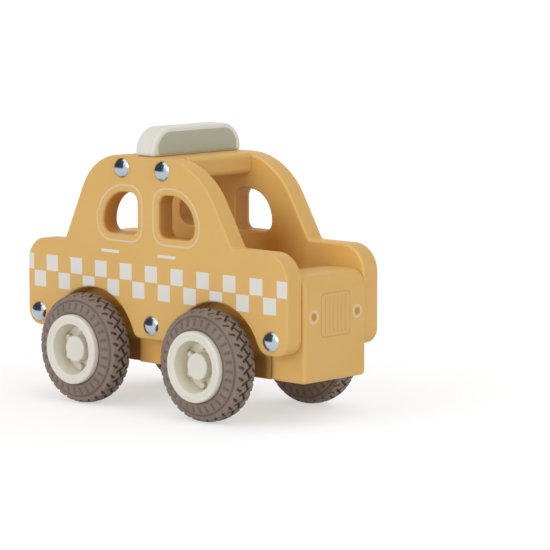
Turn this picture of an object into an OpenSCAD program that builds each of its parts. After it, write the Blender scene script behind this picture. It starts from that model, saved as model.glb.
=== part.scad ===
// Wooden toy taxi: two thick side panels bolted to a wooden core, four rubber-tyred wheels.
// Millimetres. +X is the front of the car, +Z is up, and the wheels stand on z = 0.

/* [Body] */
// Length of a side panel
panel_len = 162.4; // [156:0.2:180]
// Width over both side panels
body_w = 59.4; // [52:0.2:70]
// Thickness of a side panel
panel_t = 9.7; // [7:0.1:12]
// Round-over along the panel edges and window edges
edge_r = 1.1; // [0.6:0.1:2]
// Height of the trunk deck above the sill
trunk_h = 40.5; // [36:0.5:44]
// Height of the hood above the sill
hood_h = 44.4; // [40:0.2:46]
// Height of the roof above the sill
roof_h = 81.4; // [76:0.2:88]
// Radius of the trunk corner
trunk_r = 11; // [6:0.5:13]
// Radius of the hood corner
hood_r = 12.5; // [6:0.5:14]
// Share of the panel length between the axles
axle_spread = 0.474; // [0.46:0.002:0.486]
// Share of a panel foot, outside a wheel arch, that its outer corner rounds off
foot_round = 0.46; // [0.3:0.01:0.55]

/* [Cab] */
// Share of the panel length taken by the hood
hood_share = 0.202; // [0.18:0.002:0.22]
// Share of the panel length taken by the trunk deck
trunk_share = 0.15; // [0.13:0.002:0.16]
// Lean of the rear pillar from the horizontal
rear_pillar_lean = 65; // [60:1:70]
// Lean of the front pillar from the horizontal
front_pillar_lean = 60; // [57:1:66]
// Radius between the rear pillar and the roof
rear_roof_r = 26; // [18:0.5:30]
// Radius between the front pillar and the roof
front_roof_r = 36; // [24:0.5:38]
// How far the window post stands in front of the middle of the roof
post_shift = 2.3; // [0:0.1:4]
// Share of the roof line taken by the post between the windows
post_share = 0.207; // [0.16:0.001:0.26]
// Share of the roof line taken by one window
window_share = 0.34; // [0.28:0.002:0.36]
// Share of the height from hood to roof taken by a window
window_rise = 0.51; // [0.42:0.005:0.56]
// Height of the window sills above the hood
window_sill = 1.8; // [1:0.1:4]
// Rounding of the large upper corner, as a share of the window
window_big_round = 0.73; // [0.4:0.01:0.73]
// Rounding of the lower corner away from the post, as a share of the window
window_far_round = 0.26; // [0.15:0.01:0.26]
// Rounding of the upper corner beside the post, as a share of the window
window_post_round = 0.24; // [0.15:0.01:0.26]
// Rounding of the lower corner beside the post, as a share of the window
window_low_round = 0.19; // [0.15:0.01:0.26]

/* [Core] */
// Depth of the front and rear blocks along the car
block_len = 21.8; // [18:0.1:24]
// How far the blocks stand out past the panel ends
block_proud = 1.4; // [0:0.1:4]
// Height of the front and rear blocks
block_h = 47; // [40:0.1:52]
// Radius of the upper outer edge of a block
block_top_r = 7.5; // [4:0.5:12]
// Radius of the other outer edges of a block
block_edge_r = 2; // [0.5:0.1:3]
// Radius of the lower corners of a block, seen from the front
block_foot_r = 2.5; // [0.5:0.1:4]
// Radius of the upright edges beside the wheels
waist_edge_r = 4.5; // [3:0.1:6]
// How far the chassis hangs below the panel sills
sill_drop = 12.5; // [8:0.5:16]
// Height of the chassis block
chassis_h = 23.3; // [18:0.1:28]
// How far the chassis is waisted on each side beside the wheels
waist = 2; // [1:0.1:2.9]
// Length of the full-width middle of the chassis
chassis_mid_len = 39; // [24:1:42]
// Thickness of the floor board
floor_t = 9.7; // [7:0.1:12]
// Diameter of the round seat well in the floor
well_d = 28.3; // [20:0.1:30]
// How far the middle of the seat well lies behind the middle of the front arch
well_back = 1.5; // [0:0.1:4]

/* [Roof] */
// Thickness of the roof board
roof_t = 9.4; // [8:0.1:12]
// Share of the roof line covered by the roof board
roof_share = 0.58; // [0.52:0.01:0.66]
// Radius of the roof board's long edges
roof_edge_r = 2.4; // [0.5:0.1:3]
// How far the roof sign ends inside the panels' outer faces
sign_in = 1.5; // [1:0.1:5]
// Thickness of the roof sign
sign_t = 11.5; // [9:0.1:14]
// Height of the roof sign
sign_h = 12.8; // [12:0.1:20]
// Radius of the sign's upper corners
sign_r = 11; // [5:0.5:11]
// Round-over along the sign's face edges
sign_edge_r = 1.5; // [0.5:0.1:2.2]
// How far the sign stands behind the middle of the roof
sign_back = 1; // [0:0.1:2]

/* [Wheels] */
// Diameter of the tyres
wheel_d = 50; // [46:0.5:56]
// Width of a tyre
tyre_w = 14.6; // [12:0.1:16]
// Distance from a panel's outer face out to the middle of the tyre
wheel_out = 3.9; // [3:0.1:6]
// Gap between the tyre and the wheel arch
arch_gap = 2.2; // [1.6:0.1:3]
// How far the axles sit behind the middle of their arches
axle_back = 1; // [0:0.1:1.4]
// Height of the axles above the underside of the chassis
axle_rise = 5.7; // [5:0.1:9]
// Diameter of an axle
axle_d = 4; // [3:0.1:5]
// Diameter of a hub over its outer lip
hub_d = 31.5; // [30:0.1:34]
// How far the hub lip stands out past the tyre
hub_proud = 2.4; // [0.8:0.1:2.6]
// Depth of the dish in the hub
dish_depth = 8.1; // [6:0.1:8.6]
// Diameter of the hub cap
cap_d = 11.9; // [9:0.1:12]
// How far the hub cap sits behind the lip
cap_set_back = 3.1; // [1.5:0.1:4]
// Number of lugs round the hub cap
lug_count = 6; // [4:1:8]
// Diameter of a lug
lug_d = 3; // [2:0.1:3.4]
// Number of tread blocks in one row round the tyre
tread_count = 20; // [12:1:24]
// Depth of the tread
tread_depth = 1.2; // [0.6:0.1:1.6]
// How far the middle rows slant, as a share of the pitch of the blocks
tread_slant = 0.35; // [0:0.01:0.5]

/* [Fixings] */
// Diameter of a screw head
head_d = 9; // [7:0.1:11]
// Height of a screw head
head_h = 2.8; // [2:0.1:4]
// Diameter of a screw shank
shank_d = 4; // [3:0.1:5]
// Length of a screw inside the core
screw_grip = 13; // [9:0.5:15]
// Distance between the roof screws, as a share of the roof line
roof_screw_share = 0.39; // [0.32:0.01:0.42]
// How far the roof screws sit behind the middle of the roof
roof_screw_back = 1.2; // [0:0.1:2]
// How far the roof screws sit below the middle of the roof board
roof_screw_drop = 1; // [0:0.1:1.6]
// Place of an end screw in its panel foot, as a share of the foot from the panel end
end_screw_share = 0.525; // [0.45:0.005:0.56]
// How far the sill screws are set back along the car
sill_screw_back = 1.1; // [0:0.1:1.5]
// Height of the sill screws above the sill
sill_screw_h = 6.3; // [5.5:0.1:8]
// Diameter of a dowel
dowel_d = 6; // [4:0.5:7]
// Length of a dowel
dowel_len = 14; // [10:1:16]
// Distance between two dowels of a pair
dowel_gap = 20; // [14:1:24]

/* [Hidden] */

$fn = 48;
RIGHT = -1;
LEFT = 1;
FRONT = 1;
REAR = -1;

OCHRE = [0.84, 0.66, 0.36];
CREAM = [0.88, 0.86, 0.80];
TAUPE = [0.50, 0.44, 0.39];
CHROME = [0.80, 0.82, 0.85];
STEEL = [0.62, 0.63, 0.65];
BEECH = [0.80, 0.66, 0.47];

// Clearances: a screw through a panel, a glued dowel or screw tip, a turning axle,
// a tyre on its hub, and the hub beside the chassis
screw_clear = 0.15;
glue_clear = 0.05;
axle_clear = 0.08;
tyre_clear = 0.05;
hub_clear = 0.5;

// Heights, from the floor up
wheel_r = wheel_d / 2;
axle_z = wheel_r;
under_z = axle_z - axle_rise;
chassis_top = under_z + chassis_h;
sill_z = under_z + sill_drop;
roof_z = sill_z + roof_h;
roof_screw_z = roof_z - roof_t / 2 - roof_screw_drop;
sill_screw_z = sill_z + sill_screw_h;

// Widths, from the middle of the car out
core_half = body_w / 2 - panel_t;
rail_half = core_half - waist;
tyre_mid = body_w / 2 + wheel_out;

// Lengths, from the middle of the car
panel_half = panel_len / 2;
block_face = panel_half + block_proud;
block_back = block_face - block_len;
arch_x = panel_len * axle_spread / 2;
well_x = arch_x - well_back;
function axle_x(end) = end * arch_x - axle_back;

// Cab: the feet of the pillars, the roof line between the pillars' tops, and what is set out on it
front_foot_x = panel_half - panel_len * hood_share;
rear_foot_x = panel_len * trunk_share - panel_half;
front_top_x = front_foot_x - (roof_h - hood_h) / tan(front_pillar_lean);
rear_top_x = rear_foot_x + (roof_h - trunk_h) / tan(rear_pillar_lean);
roof_line = front_top_x - rear_top_x;
roof_x = (front_top_x + rear_top_x) / 2;
roof_len = roof_line * roof_share;
sign_x = roof_x - sign_back;
sign_len = body_w - 2 * sign_in;
pillar_foot_r = 2.5;

// Arch: a circle round the axle that runs out into straight, flared sides
arch_r = wheel_r + arch_gap;
arch_flare = 66;
arch_top_dx = arch_r * tan(arch_flare / 2);
arch_foot_dx = arch_top_dx + (axle_z + arch_r - sill_z) / tan(arch_flare);
foot_w = panel_half - arch_x - arch_foot_dx;
foot_r = foot_w * foot_round;
arch_end_r = foot_w * 0.44;
arch_mid_r = 4;

// A corner is [x, y, radius]. Outlines run counter-clockwise.
function point(c) = [c[0], c[1]];
function unit(v) = v / norm(v);
function inward(a, b) = let (e = unit(b - a)) [-e[1], e[0]];
function before(list, i) = list[(i + len(list) - 1) % len(list)];
function after(list, i) = list[(i + 1) % len(list)];

// One corner moved in by d, with its radius kept concentric
function inset_corner(a, p, b, r, d) =
    let (n1 = inward(a, p))
    let (n2 = inward(p, b))
    let (bend = sign(cross(p - a, b - p)))
    let (q = p + d * (n1 + n2) / (1 + n1 * n2))
    [q[0], q[1], r - bend * d];

function inset_outline(corners, d) =
    [for (i = [0 : len(corners) - 1])
        let (c = corners[i])
        inset_corner(point(before(corners, i)), point(c), point(after(corners, i)), c[2], d)];

// Degrees of arc for each flat: finer on the large radii
function arc_step(r) = r > 20 ? 8 : 18;
function turn_angle(a, p, b) = acos(unit(p - a) * unit(b - p));

function short_turn(angle) = angle > 180 ? angle - 360 : angle < -180 ? angle + 360 : angle;

function corner_arc(a, p, b, r, steps) =
    let (to_a = unit(a - p))
    let (to_b = unit(b - p))
    let (half = acos(to_a * to_b) / 2)
    let (centre = p + unit(to_a + to_b) * r / sin(half))
    let (first = p + to_a * r / tan(half) - centre)
    let (last = p + to_b * r / tan(half) - centre)
    let (start = atan2(first[1], first[0]))
    let (sweep = short_turn(atan2(last[1], last[0]) - start))
    [for (k = [0 : steps]) centre + r * [cos(start + sweep * k / steps), sin(start + sweep * k / steps)]];

// Points of an outline of corners, moved in by d; the number of points does not depend on d
function all_points(corners, d) =
    let (moved = inset_outline(corners, d))
    [for (i = [0 : len(corners) - 1])
        let (a = point(before(corners, i)))
        let (p = point(corners[i]))
        let (b = point(after(corners, i)))
        let (steps = max(2, ceil(turn_angle(a, p, b) / arc_step(corners[i][2]))))
        let (c = moved[i])
        each corner_arc(point(before(moved, i)), point(c), point(after(moved, i)), c[2], steps)];

// Two arcs that run into each other share a point, which is kept once
function outline_points(corners, d) =
    let (points = all_points(corners, d))
    [for (i = [0 : len(points) - 1]) if (norm(points[i] - before(points, i)) > 0.001) points[i]];

// Triangles that fill a counter-clockwise outline, taken off it one ear at a time
function side_of(a, b, p) = cross(b - a, p - a);
function within(p, a, b, c) = side_of(a, b, p) >= 0 && side_of(b, c, p) >= 0 && side_of(c, a, p) >= 0;
function ear_at(ids, k) = [before(ids, k), ids[k], after(ids, k)];
function is_ear(points, ids, k) =
    let (ear = ear_at(ids, k))
    let (a = points[ear[0]])
    let (b = points[ear[1]])
    let (c = points[ear[2]])
    side_of(a, b, c) > 0
    && len([for (i = ids) if (len(search(i, ear)) == 0 && within(points[i], a, b, c)) i]) == 0;
function first_ear(points, ids, k) = is_ear(points, ids, k) ? k : first_ear(points, ids, k + 1);
function ears(points, ids) =
    len(ids) == 3 ? [ids] :
    let (k = first_ear(points, ids, 0))
    let (rest = [for (i = [0 : len(ids) - 1]) if (i != k) ids[i]])
    concat([ear_at(ids, k)], ears(points, rest));

// Solid through a stack of rings, each [height, inset], all of one outline
module ring_stack(corners, rings) {
    rim = outline_points(corners, rings[0][1]);
    count = len(rim);
    last = (len(rings) - 1) * count;
    points = [for (ring = rings) for (p = outline_points(corners, ring[1])) [p[0], p[1], ring[0]]];
    bottom = ears(rim, [for (i = [0 : count - 1]) i]);
    top = [for (t = bottom) [last + t[2], last + t[1], last + t[0]]];
    sides = [for (k = [0 : len(rings) - 2]) for (i = [0 : count - 1])
        [k * count + i, (k + 1) * count + i, (k + 1) * count + (i + 1) % count, k * count + (i + 1) % count]];
    polyhedron(points, concat(bottom, top, sides));
}

round_steps = 2;
function round_in(r, k) = r * (1 - sin(90 * k / round_steps));
function round_up(r, k) = r * (1 - cos(90 * k / round_steps));

// Plate of thickness t with both rims rounded over
module rounded_plate(corners, t, r) {
    low = [for (k = [0 : round_steps]) [round_up(r, k), round_in(r, k)]];
    high = [for (k = [round_steps : -1 : 0]) [t - round_up(r, k), round_in(r, k)]];
    ring_stack(corners, concat(low, high));
}

// Cutter for a window whose two rims are rounded over
module rounded_cut(corners, t, r) {
    spare = 1;
    low = [for (k = [0 : round_steps]) [round_up(r, k), -round_in(r, k)]];
    high = [for (k = [round_steps : -1 : 0]) [t - round_up(r, k), -round_in(r, k)]];
    ring_stack(corners, concat([[-spare, -r]], low, high, [[t + spare, -r]]));
}

// Four corners of an arch round the axle at x, from the rear foot to the front foot
function arch_corners(x, rear_r, front_r) = [
    [x - arch_foot_dx, sill_z, rear_r],
    [x - arch_top_dx, axle_z + arch_r, arch_r],
    [x + arch_top_dx, axle_z + arch_r, arch_r],
    [x + arch_foot_dx, sill_z, front_r]];

// Outline of a side panel, seen from the right of the car
panel_corners = concat(
    [[-panel_half, sill_z, foot_r]],
    arch_corners(-arch_x, arch_end_r, arch_mid_r),
    arch_corners(arch_x, arch_mid_r, arch_end_r),
    [[panel_half, sill_z, foot_r],
     [panel_half, sill_z + hood_h, hood_r],
     [front_foot_x, sill_z + hood_h, pillar_foot_r],
     [front_top_x, roof_z, front_roof_r],
     [rear_top_x, roof_z, rear_roof_r],
     [rear_foot_x, sill_z + trunk_h, pillar_foot_r],
     [-panel_half, sill_z + trunk_h, trunk_r]]);

window_h = (roof_h - hood_h) * window_rise;
window_w = roof_line * window_share;
window_size = min(window_h, window_w);
window_low = sill_z + hood_h + window_sill;
window_high = window_low + window_h;
post_x = roof_x + post_shift;
near_dx = roof_line * post_share / 2;
far_dx = near_dx + window_w;
big_r = window_size * window_big_round;
far_r = window_size * window_far_round;
post_r = window_size * window_post_round;
low_r = window_size * window_low_round;

front_window = [
    [post_x + near_dx, window_low, low_r],
    [post_x + far_dx, window_low, far_r],
    [post_x + far_dx, window_high, big_r],
    [post_x + near_dx, window_high, post_r]];
rear_window = [
    [post_x - far_dx, window_low, far_r],
    [post_x - near_dx, window_low, low_r],
    [post_x - near_dx, window_high, post_r],
    [post_x - far_dx, window_high, big_r]];

roof_screw_gap = roof_line * roof_screw_share;
end_screw_x = panel_half - foot_w * end_screw_share;
roof_screw_xs = [for (end = [REAR, FRONT]) roof_x - roof_screw_back + end * roof_screw_gap / 2];
sill_screw_xs = [for (place = [-1, 0, 1]) place * end_screw_x - sill_screw_back];

// Lays a shape drawn in x and z, with its height along +Z, out towards one side of the car
module out_to(side, from) {
    translate([0, side * from, 0]) mirror([0, side > 0 ? 1 : 0, 0]) rotate([90, 0, 0]) children();
}

// Holes along the screws of both sides, wide enough for the shank and a clearance
module screw_holes(clear, from, to) {
    hole_d = shank_d + 2 * clear;
    for (side = [RIGHT, LEFT]) {
        out_to(side, from) {
            for (x = roof_screw_xs) translate([x, roof_screw_z, 0]) cylinder(h = to - from, d = hole_d);
            for (x = sill_screw_xs) translate([x, sill_screw_z, 0]) cylinder(h = to - from, d = hole_d);
        }
    }
}

module side_panel(side) {
    spare = 1;
    color(OCHRE) difference() {
        out_to(side, core_half) difference() {
            rounded_plate(panel_corners, panel_t, edge_r);
            rounded_cut(front_window, panel_t, edge_r);
            rounded_cut(rear_window, panel_t, edge_r);
        }
        screw_holes(screw_clear, core_half - spare, body_w / 2 + spare);
    }
}

// Holes in the core for the screw tips, a little longer than the tips
module screw_tips() {
    tip_spare = 1;
    screw_holes(glue_clear, core_half - screw_grip - tip_spare, core_half + tip_spare);
}

// Square of side 2 r with one corner cut to a quarter circle, for taking an edge off
module edge_cutter(r) {
    difference() {
        square(2 * r);
        circle(r);
    }
}

// Side view of the front block
module block_profile() {
    top = under_z + block_h;
    difference() {
        translate([block_back, under_z]) square([block_len, block_h]);
        translate([block_face - block_top_r, top - block_top_r]) edge_cutter(block_top_r);
        translate([block_face - block_edge_r, under_z + block_edge_r])
            mirror([0, 1]) edge_cutter(block_edge_r);
    }
}

// Front view of a block: its lower corners are rounded
module block_front() {
    difference() {
        translate([-core_half, under_z]) square([2 * core_half, block_h]);
        for (side = [RIGHT, LEFT]) mirror([side < 0 ? 1 : 0, 0])
            translate([core_half - block_foot_r, under_z + block_foot_r])
                mirror([0, 1]) edge_cutter(block_foot_r);
    }
}

// Plan of the front block: small round outer edges, large round edges beside the wheels
module block_plan() {
    difference() {
        translate([block_back, -core_half]) square([block_len, 2 * core_half]);
        for (side = [RIGHT, LEFT]) mirror([0, side < 0 ? 1 : 0]) {
            translate([block_face - block_edge_r, core_half - block_edge_r]) edge_cutter(block_edge_r);
            translate([block_back + waist_edge_r, core_half - waist_edge_r])
                mirror([1, 0]) edge_cutter(waist_edge_r);
        }
    }
}

// Pair of dowels along X across the joint between a block and the chassis
dowel_z = (axle_z + chassis_top) / 2;
module block_dowels(clear) {
    for (y = [-dowel_gap / 2, dowel_gap / 2])
        translate([block_back - dowel_len / 2 - clear, y, dowel_z])
            rotate([0, 90, 0]) cylinder(h = dowel_len + 2 * clear, d = dowel_d + 2 * clear);
}

module end_block(end) {
    spare = 1;
    color(OCHRE) difference() {
        mirror([end < 0 ? 1 : 0, 0, 0]) difference() {
            intersection() {
                translate([0, core_half, 0]) rotate([90, 0, 0])
                    linear_extrude(2 * core_half) block_profile();
                translate([0, 0, under_z - spare]) linear_extrude(block_h + 2 * spare) block_plan();
                translate([block_back - spare, 0, 0]) rotate([90, 0, 90])
                    linear_extrude(block_len + 2 * spare) block_front();
            }
            block_dowels(glue_clear);
        }
        screw_tips();
    }
}

// Plan of the chassis: a rail between the blocks with a full-width middle
module chassis_plan() {
    square([2 * block_back, 2 * rail_half], center = true);
    translate([-axle_back, 0]) difference() {
        square([chassis_mid_len, 2 * core_half], center = true);
        for (end = [FRONT, REAR]) for (side = [RIGHT, LEFT])
            mirror([end < 0 ? 1 : 0, 0]) mirror([0, side < 0 ? 1 : 0])
                translate([chassis_mid_len / 2 - waist_edge_r, core_half - waist_edge_r])
                    edge_cutter(waist_edge_r);
    }
}

module chassis_block() {
    spare = 1;
    color(OCHRE) difference() {
        translate([0, 0, under_z]) linear_extrude(chassis_h) chassis_plan();
        for (end = [FRONT, REAR]) {
            translate([axle_x(end), rail_half + spare, axle_z]) rotate([90, 0, 0])
                cylinder(h = 2 * (rail_half + spare), d = axle_d + 2 * axle_clear);
            mirror([end < 0 ? 1 : 0, 0, 0]) block_dowels(glue_clear);
        }
        screw_tips();
    }
}

module floor_board() {
    spare = 1;
    color(OCHRE) difference() {
        translate([-block_back, -core_half, chassis_top]) cube([2 * block_back, 2 * core_half, floor_t]);
        translate([well_x, 0, chassis_top - spare]) cylinder(h = floor_t + 2 * spare, d = well_d);
    }
}

// Pair of dowels up through the joint between the roof board and the sign
module dowels_under_sign(clear) {
    for (y = [-dowel_gap / 2, dowel_gap / 2])
        translate([sign_x, y, roof_z - dowel_len / 2 - clear])
            cylinder(h = dowel_len + 2 * clear, d = dowel_d + 2 * clear);
}

module roof_profile() {
    half = roof_len / 2;
    difference() {
        translate([roof_x - half, roof_z - roof_t]) square([roof_len, roof_t]);
        for (end = [FRONT, REAR]) translate([roof_x, 0]) mirror([end < 0 ? 1 : 0, 0]) {
            translate([half - roof_edge_r, roof_z - roof_edge_r]) edge_cutter(roof_edge_r);
            translate([half - roof_edge_r, roof_z - roof_t + roof_edge_r])
                mirror([0, 1]) edge_cutter(roof_edge_r);
        }
    }
}

module roof_board() {
    color(OCHRE) difference() {
        translate([0, core_half, 0]) rotate([90, 0, 0]) linear_extrude(2 * core_half) roof_profile();
        screw_tips();
        dowels_under_sign(glue_clear);
    }
}

// Front view of the sign: wide round upper corners, nearly square foot
sign_foot_r = sign_edge_r + 0.2;
sign_corners = [
    [-sign_len / 2, 0, sign_foot_r],
    [sign_len / 2, 0, sign_foot_r],
    [sign_len / 2, sign_h, sign_r],
    [-sign_len / 2, sign_h, sign_r]];

module roof_sign() {
    color(CREAM) difference() {
        translate([sign_x - sign_t / 2, 0, roof_z]) rotate([90, 0, 90])
            rounded_plate(sign_corners, sign_t, sign_edge_r);
        dowels_under_sign(glue_clear);
    }
}

module sign_dowels() {
    color(BEECH) dowels_under_sign(0);
}

module end_dowels(end) {
    color(BEECH) mirror([end < 0 ? 1 : 0, 0, 0]) block_dowels(0);
}

// Dome-head screw along +Z, with the underside of its head at z = 0
module screw() {
    dome_r = (pow(head_d / 2, 2) + pow(head_h, 2)) / (2 * head_h);
    rotate_extrude() {
        intersection() {
            translate([0, head_h - dome_r]) circle(dome_r, $fn = 96);
            square([head_d / 2, head_h]);
        }
        translate([0, -panel_t - screw_grip]) square([shank_d / 2, panel_t + screw_grip]);
    }
}

module screws(side, xs, z) {
    color(CHROME) out_to(side, body_w / 2) for (x = xs) translate([x, z, 0]) screw();
}

// Wheel: distances out from the middle of the car
tyre_out = tyre_mid + tyre_w / 2;
tyre_in = tyre_mid - tyre_w / 2;
lip_face = tyre_out + hub_proud;
dish_face = lip_face - dish_depth;
cap_face = lip_face - cap_set_back;
cap_t = 2;
cap_back = cap_face - cap_t;
cap_stem_d = 7;
cap_stem_len = 2.5;
axle_end = cap_back - cap_stem_len - 0.2;
web_t = 3;
hub_in = rail_half + hub_clear;

// Wheel: radii
lip_r = hub_d / 2;
lip_t = 3.2;
lip_w = 4.6;
seat_r = lip_r - 1.3;
barrel_t = 1.6;
boss_r = axle_d / 2 + 3;
lug_r = (cap_d / 2 + lip_r - lip_w) / 2;

// Places a wheel piece drawn along +Z, with z the distance out from the middle of the car
module at_wheel(end, side) {
    translate([axle_x(end), 0, axle_z]) rotate([side < 0 ? 90 : -90, 0, 0]) children();
}

// Half section of a hub: boss, web, barrel under the tyre, rolled lip, dish and centre seat
module hub_section() {
    polygon([
        [axle_d / 2, hub_in],
        [boss_r, hub_in],
        [boss_r, dish_face - web_t],
        [seat_r - barrel_t, dish_face - web_t],
        [seat_r - barrel_t, tyre_in + tyre_clear],
        [seat_r, tyre_in + tyre_clear],
        [seat_r, lip_face - lip_t],
        [lip_r, lip_face - lip_t],
        [lip_r, lip_face - 1],
        [lip_r - 0.4, lip_face - 0.3],
        [lip_r - 1.1, lip_face],
        [lip_r - 3, lip_face - 0.1],
        [lip_r - 3.9, lip_face - 0.6],
        [lip_r - lip_w, lip_face - 2],
        [lip_r - lip_w - 0.8, dish_face],
        [cap_d / 2, dish_face],
        [cap_d / 2, cap_back],
        [cap_stem_d / 2 + glue_clear, cap_back],
        [cap_stem_d / 2 + glue_clear, axle_end],
        [axle_d / 2, axle_end]]);
}

module hub(end, side) {
    lug_h = 1.8;
    color(CREAM) at_wheel(end, side) {
        rotate_extrude() hub_section();
        for (k = [0 : lug_count - 1])
            rotate(90 + k * 360 / lug_count) translate([lug_r, 0, dish_face])
                cylinder(h = lug_h, d = lug_d);
    }
}

module hub_cap(end, side) {
    rim = 0.5;
    color(CREAM) at_wheel(end, side) rotate_extrude() polygon([
        [0, cap_back - cap_stem_len],
        [cap_stem_d / 2, cap_back - cap_stem_len],
        [cap_stem_d / 2, cap_back],
        [cap_d / 2, cap_back],
        [cap_d / 2, cap_face - rim],
        [cap_d / 2 - rim, cap_face],
        [0, cap_face]]);
}

module axle(end) {
    color(STEEL) translate([axle_x(end), axle_end, axle_z]) rotate([90, 0, 0])
        cylinder(h = 2 * axle_end, d = axle_d);
}

// Tread: rows of blocks across the tyre, each row half a pitch round from the next
tread_half = 4.7;
row_gap = 0.2;
row_w = tread_half / 2;
crown = 0.8;
wall_r = wheel_r - 3;
wall_foot_r = lip_r + 1.2;
wall_half = tread_half + 0.6;
function tread_top(w) = wheel_r - crown * pow(w / tread_half, 2);

// Points of the tyre's section as [distance from the tyre's middle, radius, row], row -1 being plain
function row_edges(row) = [
    [tread_half - row * row_w - row_gap / 2, row],
    [tread_half - (row + 1) * row_w + row_gap / 2, row]];
tread_section = [for (row = [0 : 3]) each [for (e = row_edges(row)) [e[0], tread_top(e[0]), e[1]]]];
bead_half = tyre_w / 2;
bead_r = seat_r + tyre_clear;
tyre_section = concat(
    [[-bead_half, bead_r, -1],
     [lip_face - lip_t - tyre_clear - tyre_mid, bead_r, -1],
     [lip_face - lip_t - tyre_clear - tyre_mid, lip_r + tyre_clear, -1],
     [bead_half, wall_foot_r, -1],
     [wall_half, wall_r, -1]],
    tread_section,
    [[-wall_half, wall_r, -1],
     [-bead_half, wall_foot_r, -1]]);

// Each pitch round the tyre has four stations: up on to a block, along it, and down again
block_rise = 0.08;
station_share = [0, block_rise, 0.5, 0.5 + block_rise];
function station_angle(s) = (floor(s / 4) + station_share[s % 4] - block_rise) * 360 / tread_count - 90;
function on_block(s, row) = let (k = (s + 2 * (row % 2)) % 4) k == 1 || k == 2;
function section_r(p, s) = p[2] >= 0 && !on_block(s, p[2]) ? p[1] - tread_depth : p[1];
function slant(w) = tread_slant * max(0, 1 - abs(w) / row_w) * 360 / tread_count;

module tyre(end, side) {
    across = len(tyre_section);
    around = 4 * tread_count;
    points = [for (s = [0 : around - 1]) for (p = tyre_section)
        let (r = section_r(p, s))
        let (angle = station_angle(s) + slant(p[0]) - slant(0))
        [r * cos(angle), r * sin(angle), tyre_mid + p[0]]];
    faces = [for (s = [0 : around - 1]) for (i = [0 : across - 1])
        let (a = s * across + i)
        let (b = s * across + (i + 1) % across)
        let (c = ((s + 1) % around) * across + (i + 1) % across)
        let (d = ((s + 1) % around) * across + i)
        each [[a, c, b], [a, d, c]]];
    color(TAUPE) at_wheel(end, side) polyhedron(points, faces);
}

side_panel(RIGHT);  // side_panel_right
side_panel(LEFT);  // side_panel_left
end_block(FRONT);  // front_block
end_block(REAR);  // rear_block
chassis_block();
floor_board();
roof_board();
roof_sign();
sign_dowels();
end_dowels(FRONT);  // front_dowels
end_dowels(REAR);  // rear_dowels
screws(RIGHT, roof_screw_xs, roof_screw_z);  // roof_screws_right
screws(LEFT, roof_screw_xs, roof_screw_z);  // roof_screws_left
screws(RIGHT, sill_screw_xs, sill_screw_z);  // sill_screws_right
screws(LEFT, sill_screw_xs, sill_screw_z);  // sill_screws_left
axle(FRONT);  // front_axle
axle(REAR);  // rear_axle
hub(FRONT, RIGHT);  // hub_front_right
hub(FRONT, LEFT);  // hub_front_left
hub(REAR, RIGHT);  // hub_rear_right
hub(REAR, LEFT);  // hub_rear_left
hub_cap(FRONT, RIGHT);  // hub_cap_front_right
hub_cap(FRONT, LEFT);  // hub_cap_front_left
hub_cap(REAR, RIGHT);  // hub_cap_rear_right
hub_cap(REAR, LEFT);  // hub_cap_rear_left
tyre(FRONT, RIGHT);  // tyre_front_right
tyre(FRONT, LEFT);  // tyre_front_left
tyre(REAR, RIGHT);  // tyre_rear_right
tyre(REAR, LEFT);  // tyre_rear_left
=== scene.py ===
# %% [markdown]
# # A wooden toy taxi
# Two painted boards stand on either side of a block chassis, and four rubber-tyred wheels turn on
# steel rods between them. The packed CAD model already holds every place and size, so this lesson
# loads it as a fixed frame and dresses it: finer edges, turned wheels, prints and finishes.

# %% Load the frame
import math

import bmesh
import bpy
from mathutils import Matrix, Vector


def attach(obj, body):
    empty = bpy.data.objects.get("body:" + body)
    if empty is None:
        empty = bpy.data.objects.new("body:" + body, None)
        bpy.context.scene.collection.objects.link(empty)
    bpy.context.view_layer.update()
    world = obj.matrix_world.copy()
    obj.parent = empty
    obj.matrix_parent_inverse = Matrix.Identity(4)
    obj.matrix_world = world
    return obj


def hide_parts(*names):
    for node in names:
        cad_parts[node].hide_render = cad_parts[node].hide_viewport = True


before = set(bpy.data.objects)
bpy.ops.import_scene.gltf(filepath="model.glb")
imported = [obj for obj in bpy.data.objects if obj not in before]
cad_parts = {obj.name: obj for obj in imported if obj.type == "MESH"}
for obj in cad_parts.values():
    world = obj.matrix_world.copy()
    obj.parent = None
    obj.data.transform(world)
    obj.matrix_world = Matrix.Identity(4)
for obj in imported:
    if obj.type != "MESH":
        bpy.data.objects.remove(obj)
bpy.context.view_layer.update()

MM = 0.001

# %% [markdown]
# ## Camera
# The printed checks are a ruler on the near board: every square is 8 mm wide. Solving the view from
# their corners gives a long lens far from the toy, a little above its roof, off its front corner.
# A place and a direction are enough to set it up, and the sensor width turns pixels into a lens.

# %% Camera
FRAME_PX, FOCAL_PX, SENSOR_MM = 550, 3107.5, 36.0
VIEW_AZIMUTH, VIEW_ELEVATION = 42.84, 7.123
CAMERA_AT = (0.9708, -0.9966, 0.2321)


def towards(azimuth, elevation):
    """Unit vector from the car to a place round it, in degrees. Azimuth 0 faces the right board."""
    a, e = math.radians(azimuth), math.radians(elevation)
    return Vector((math.sin(a) * math.cos(e), -math.cos(a) * math.cos(e), math.sin(e)))


def aimed_at_car(azimuth, elevation):
    """The turn that points a camera or a lamp at the car from that place."""
    return towards(azimuth, elevation).to_track_quat("Z", "Y").to_euler()


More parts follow.
